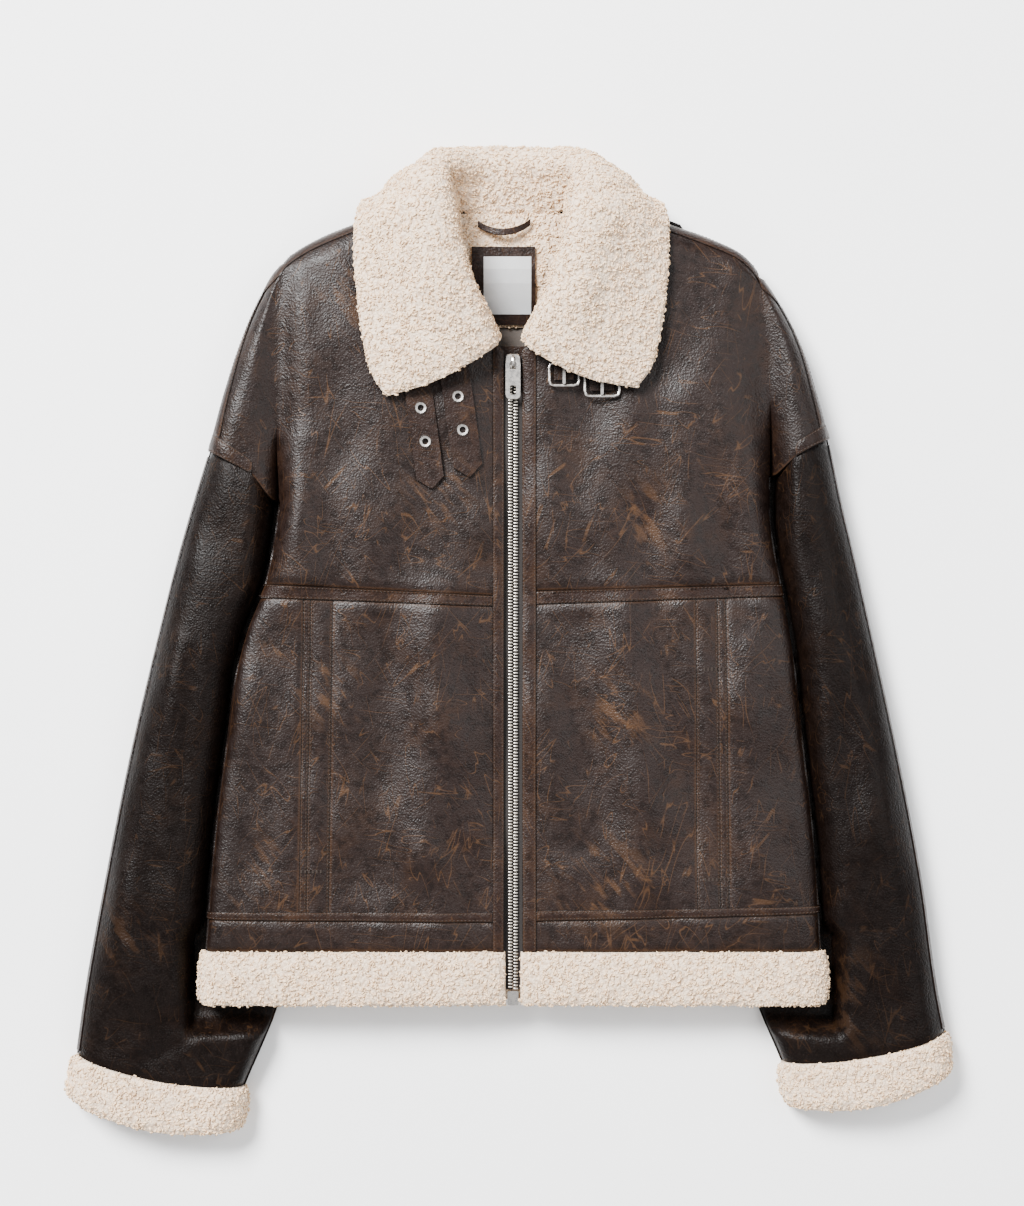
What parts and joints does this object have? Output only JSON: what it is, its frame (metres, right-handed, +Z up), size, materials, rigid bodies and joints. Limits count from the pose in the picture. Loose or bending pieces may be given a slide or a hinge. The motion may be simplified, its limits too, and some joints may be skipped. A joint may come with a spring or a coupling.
{
  "type": "faux leather jacket",
  "caption": "Cropped zipped faux leather jacket laid flat on its back, with a wide borg collar, borg hem and cuffs, throat straps, buckles and pockets.",
  "frame": {"origin": "middle of the jacket's box in plan, on the surface it lies on", "axes": "+Z up, out of the front; +Y towards the collar; +X towards the wearer's left"},
  "size_m": [0.7602, 0.8376, 0.0873],
  "materials": {
    "leather": "distressed, soft sheen",
    "trim_leather": "soft sheen",
    "borg": "curly pile",
    "metal": "nickel plate",
    "tape": "woven tape",
    "satin": "satin weave",
    "lining": "smooth weave"
  },
  "bodies": {
    "jacket": {"armhole_band_left": "trim_leather", "armhole_band_right": "trim_leather", "back_panel": "leather", "buckle_inner": "metal", "buckle_outer": "metal", "buckle_tab_inner": "trim_leather", "buckle_tab_outer": "trim_leather", "chest_band_left": "trim_leather", "chest_band_right": "trim_leather", "collar_borg": "borg", "collar_leather": "leather", "cuff_left": "borg", "cuff_right": "borg", "eyelet_inner_1": "metal", "eyelet_inner_2": "metal", "eyelet_outer_1": "metal", "eyelet_outer_2": "metal", "front_lower_left": "leather", "front_lower_right": "leather", "front_upper_left": "leather", "front_upper_right": "leather", "hanger_loop": "trim_leather", "hem_band_left": "trim_leather", "hem_band_right": "trim_leather", "hem_borg_back": "borg", "hem_borg_left": "borg", "hem_borg_right": "borg", "hem_leather_left": "leather", "hem_leather_right": "leather", "label": "satin", "label_patch": "trim_leather", "lining": "lining", "neck_facing": "borg", "placket_left": "trim_leather", "placket_right": "trim_leather", "pocket_facing_left": "leather", "pocket_facing_right": "leather", "pocket_welt_left": "leather", "pocket_welt_right": "leather", "prong_inner": "metal", "prong_outer": "metal", "shoulder_band_left": "trim_leather", "shoulder_band_right": "trim_leather", "side_panel_left": "leather", "side_panel_right": "leather", "sleeve_back_left": "leather", "sleeve_back_right": "leather", "sleeve_front_left": "leather", "sleeve_front_right": "leather", "strap_inner": "trim_leather", "strap_outer": "trim_leather", "zip_box": "metal", "zip_guard": "leather", "zip_slider": "metal", "zip_tape_left": "tape", "zip_tape_right": "tape", "zip_teeth_left": "metal", "zip_teeth_right": "metal"},
    "pull_tab": {"zip_pull_tab": "metal"}
  },
  "joints": [
    {"name": "pull_tab_hinge", "type": "hinge", "parent": "jacket", "child": "pull_tab", "pos_m": [0.00292, 0.23632, 0.0454], "axis": [-1, 0, 0], "range_deg": [0, 100]}
  ]
}
